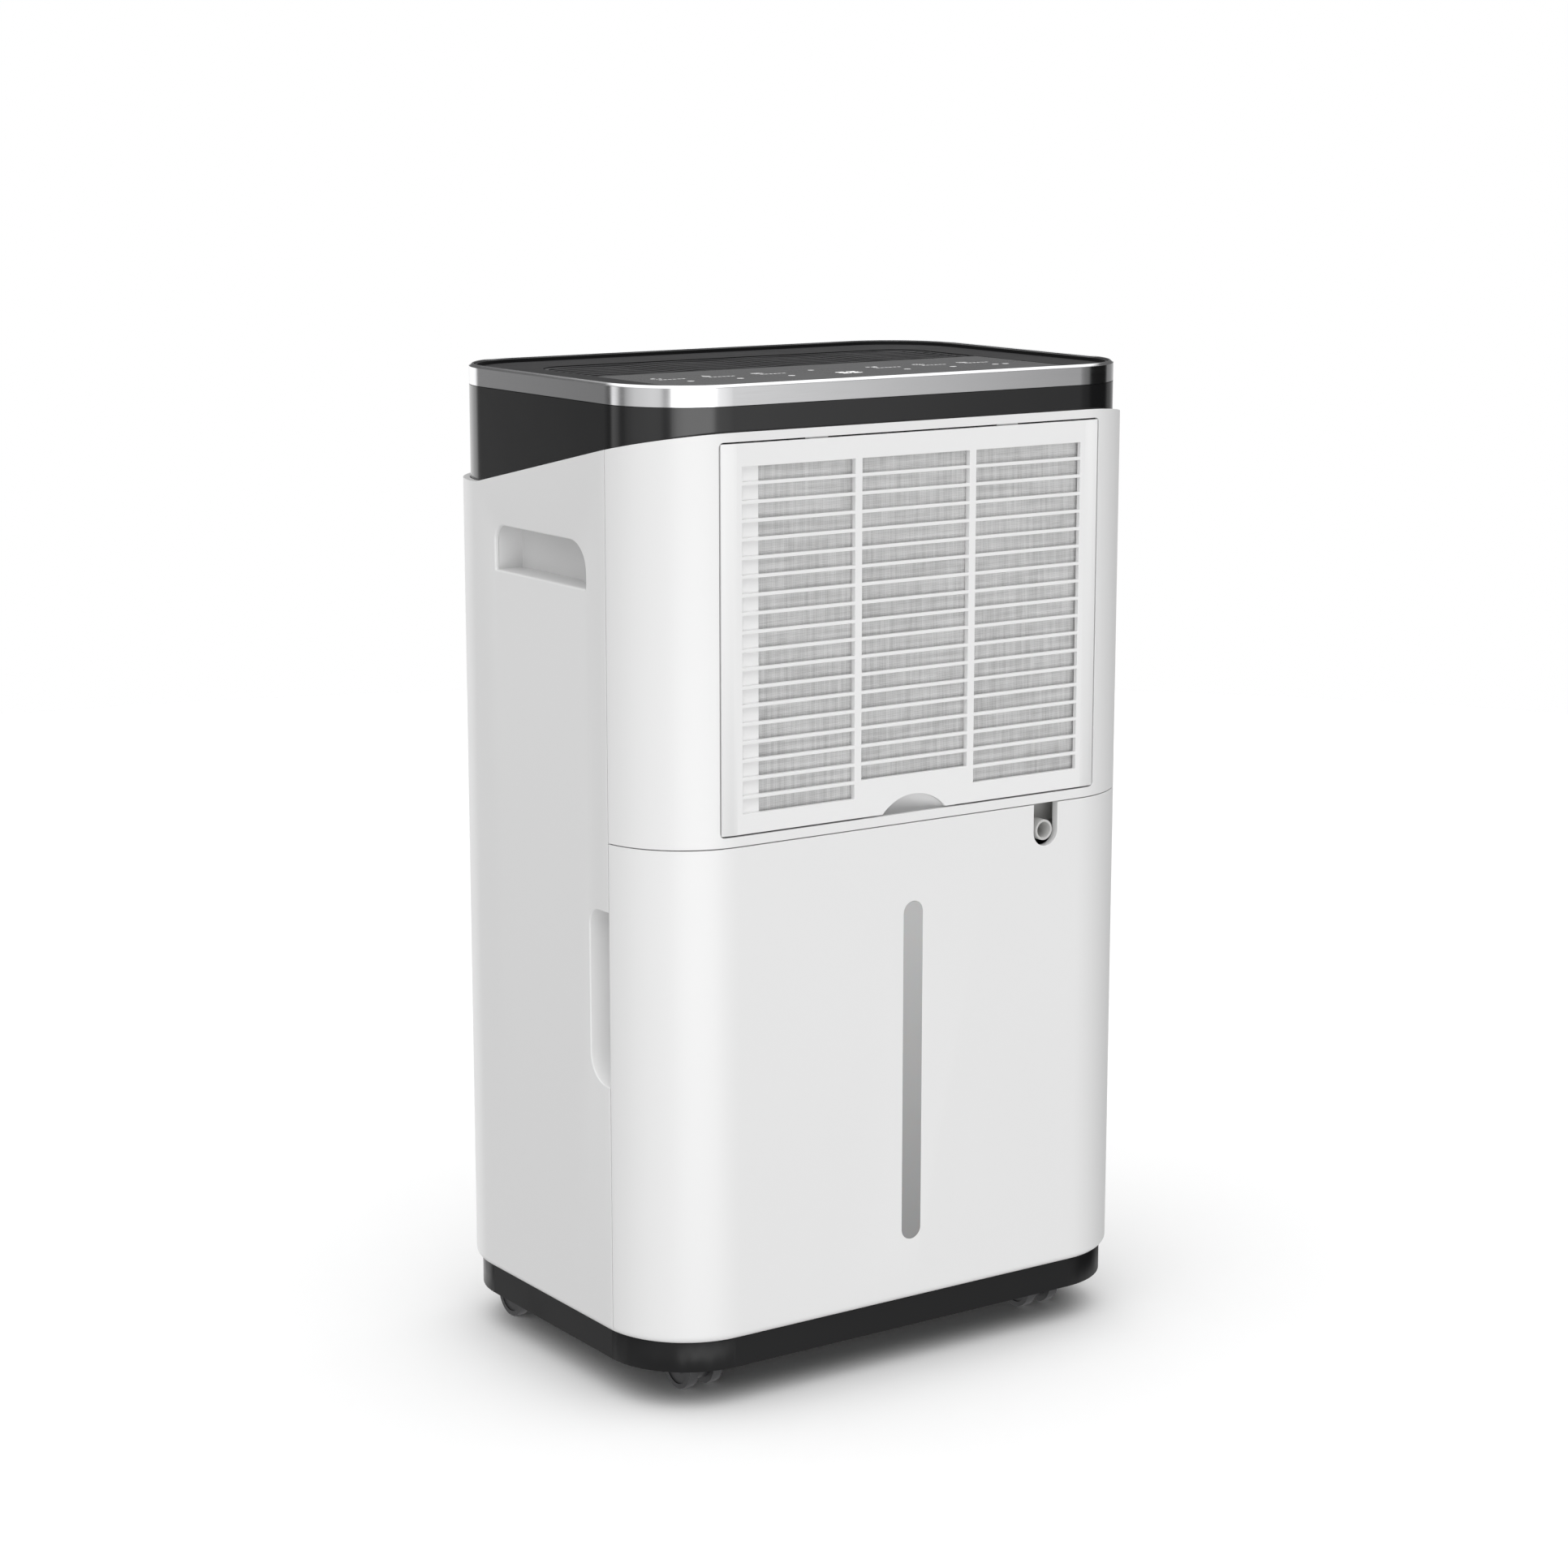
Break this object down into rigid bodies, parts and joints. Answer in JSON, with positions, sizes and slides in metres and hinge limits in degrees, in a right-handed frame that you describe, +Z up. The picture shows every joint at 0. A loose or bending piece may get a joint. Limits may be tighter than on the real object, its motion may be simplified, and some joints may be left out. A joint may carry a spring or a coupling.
{
  "type": "dehumidifier",
  "caption": "Upright portable dehumidifier on casters with a pull-out water bucket below a louvred front air filter and a glossy top with a touch panel and outlet grille.",
  "frame": {"origin": "on the floor, under the centre of the body", "axes": "+Z up, -Y towards the front with the bucket and filter, +X to the right seen from the front"},
  "size_m": [0.372, 0.26, 0.615],
  "materials": {
    "white_shell": "white injection moulded ABS, semi-gloss with a very fine texture",
    "filter_white": "white moulded grille, satin",
    "filter_net": "fine woven nylon net",
    "gloss_black": "glossy black ABS",
    "silver_rim": "satin silver metallised plastic",
    "panel_grey": "smooth grey touch film with pale symbols",
    "grille_black": "black moulded louvres",
    "base_black": "black textured plastic",
    "grip_white": "white moulded cup, satin",
    "inner_plastic": "grey-white moulded plastic",
    "tub_plastic": "translucent polypropylene",
    "window_clear": "grey translucent level window",
    "handle_grey": "grey moulded plastic",
    "float_foam": "closed cell float",
    "fin_aluminium": "thin pressed fins",
    "copper": "copper tube with a dull skin",
    "black_steel": "black painted steel shell",
    "motor_steel": "grey painted motor",
    "bright_steel": "zinc plated steel",
    "rubber": "soft rubber",
    "circuit_board": "green solder mask",
    "small_parts": "black moulded parts",
    "sensor_white": "white sensor case",
    "caster_body": "black nylon",
    "caster_wheel": "hard grey-black wheel"
  },
  "bodies": {
    "housing": {"base_pan": "base_black", "rear_housing": "white_shell", "front_panel": "white_shell", "top_surround": "gloss_black", "silver_trim": "silver_rim", "control_panel": "panel_grey", "control_board": "circuit_board", "outlet_grille": "grille_black", "grip_cup_left": "grip_white", "grip_cup_right": "grip_white", "housing_screws": "bright_steel", "partition": "inner_plastic", "drip_tray": "inner_plastic", "evaporator_fins": "fin_aluminium", "evaporator_tubes": "copper", "condenser_fins": "fin_aluminium", "condenser_tubes": "copper", "compressor_shell": "black_steel", "accumulator": "black_steel", "compressor_grommets": "rubber", "compressor_studs": "bright_steel", "terminal_cover": "small_parts", "suction_line": "copper", "discharge_line": "copper", "capillary_tube": "copper", "filter_drier": "copper", "fan_scroll": "inner_plastic", "fan_motor": "motor_steel", "electrical_box": "inner_plastic", "main_board": "circuit_board", "run_capacitor": "bright_steel", "humidity_sensor": "sensor_white", "cord_gland": "base_black", "level_switch": "small_parts"},
    "bucket": {"bucket_tub": "tub_plastic", "bucket_front": "white_shell", "bucket_window": "window_clear", "bucket_lid": "inner_plastic"},
    "handle": {"bucket_handle": "handle_grey"},
    "float": {"bucket_float": "float_foam"},
    "filter": {"filter_frame": "filter_white", "filter_mesh": "filter_net"},
    "fan": {"fan_impeller": "handle_grey", "fan_shaft": "bright_steel"},
    "swivel_fl": {"caster_fl_housing": "caster_body", "caster_fl_pins": "bright_steel"},
    "wheel_fl_l": {"caster_fl_wheel_l": "caster_wheel"},
    "wheel_fl_r": {"caster_fl_wheel_r": "caster_wheel"},
    "swivel_fr": {"caster_fr_housing": "caster_body", "caster_fr_pins": "bright_steel"},
    "wheel_fr_l": {"caster_fr_wheel_l": "caster_wheel"},
    "wheel_fr_r": {"caster_fr_wheel_r": "caster_wheel"},
    "swivel_rl": {"caster_rl_housing": "caster_body", "caster_rl_pins": "bright_steel"},
    "wheel_rl_l": {"caster_rl_wheel_l": "caster_wheel"},
    "wheel_rl_r": {"caster_rl_wheel_r": "caster_wheel"},
    "swivel_rr": {"caster_rr_housing": "caster_body", "caster_rr_pins": "bright_steel"},
    "wheel_rr_l": {"caster_rr_wheel_l": "caster_wheel"},
    "wheel_rr_r": {"caster_rr_wheel_r": "caster_wheel"}
  },
  "joints": [
    {"name": "bucket_slide", "type": "slide", "parent": "housing", "child": "bucket", "axis": [0, -1, 0], "range_m": [0, 0.15]},
    {"name": "handle_hinge", "type": "hinge", "parent": "bucket", "child": "handle", "pos_m": [0, -0.03, 0.2868], "axis": [-1, 0, 0], "range_deg": [0, 90]},
    {"name": "float_hinge", "type": "hinge", "parent": "bucket", "child": "float", "pos_m": [0.135, -0.025, 0.271], "axis": [-1, 0, 0], "range_deg": [0, 8]},
    {"name": "filter_tilt", "type": "hinge", "parent": "housing", "child": "filter", "pos_m": [0, -0.1296, 0.5819], "axis": [-1, 0, 0], "range_deg": [0, 20]},
    {"name": "fan_spin", "type": "hinge", "parent": "housing", "child": "fan", "pos_m": [0, 0, 0.462], "axis": [0, 1, 0], "continuous": true},
    {"name": "caster_fl_swivel", "type": "hinge", "parent": "housing", "child": "swivel_fl", "pos_m": [-0.131, -0.09, 0.034], "axis": [0, 0, 1], "continuous": true},
    {"name": "caster_fl_wheel_l_spin", "type": "hinge", "parent": "swivel_fl", "child": "wheel_fl_l", "pos_m": [-0.131, -0.083, 0.015], "axis": [1, 0, 0], "continuous": true},
    {"name": "caster_fl_wheel_r_spin", "type": "hinge", "parent": "swivel_fl", "child": "wheel_fl_r", "pos_m": [-0.131, -0.083, 0.015], "axis": [1, 0, 0], "continuous": true},
    {"name": "caster_fr_swivel", "type": "hinge", "parent": "housing", "child": "swivel_fr", "pos_m": [0.131, -0.09, 0.034], "axis": [0, 0, 1], "continuous": true},
    {"name": "caster_fr_wheel_l_spin", "type": "hinge", "parent": "swivel_fr", "child": "wheel_fr_l", "pos_m": [0.131, -0.083, 0.015], "axis": [1, 0, 0], "continuous": true},
    {"name": "caster_fr_wheel_r_spin", "type": "hinge", "parent": "swivel_fr", "child": "wheel_fr_r", "pos_m": [0.131, -0.083, 0.015], "axis": [1, 0, 0], "continuous": true},
    {"name": "caster_rl_swivel", "type": "hinge", "parent": "housing", "child": "swivel_rl", "pos_m": [-0.15, 0.08, 0.034], "axis": [0, 0, 1], "continuous": true},
    {"name": "caster_rl_wheel_l_spin", "type": "hinge", "parent": "swivel_rl", "child": "wheel_rl_l", "pos_m": [-0.15, 0.087, 0.015], "axis": [1, 0, 0], "continuous": true},
    {"name": "caster_rl_wheel_r_spin", "type": "hinge", "parent": "swivel_rl", "child": "wheel_rl_r", "pos_m": [-0.15, 0.087, 0.015], "axis": [1, 0, 0], "continuous": true},
    {"name": "caster_rr_swivel", "type": "hinge", "parent": "housing", "child": "swivel_rr", "pos_m": [0.15, 0.08, 0.034], "axis": [0, 0, 1], "continuous": true},
    {"name": "caster_rr_wheel_l_spin", "type": "hinge", "parent": "swivel_rr", "child": "wheel_rr_l", "pos_m": [0.15, 0.087, 0.015], "axis": [1, 0, 0], "continuous": true},
    {"name": "caster_rr_wheel_r_spin", "type": "hinge", "parent": "swivel_rr", "child": "wheel_rr_r", "pos_m": [0.15, 0.087, 0.015], "axis": [1, 0, 0], "continuous": true}
  ]
}
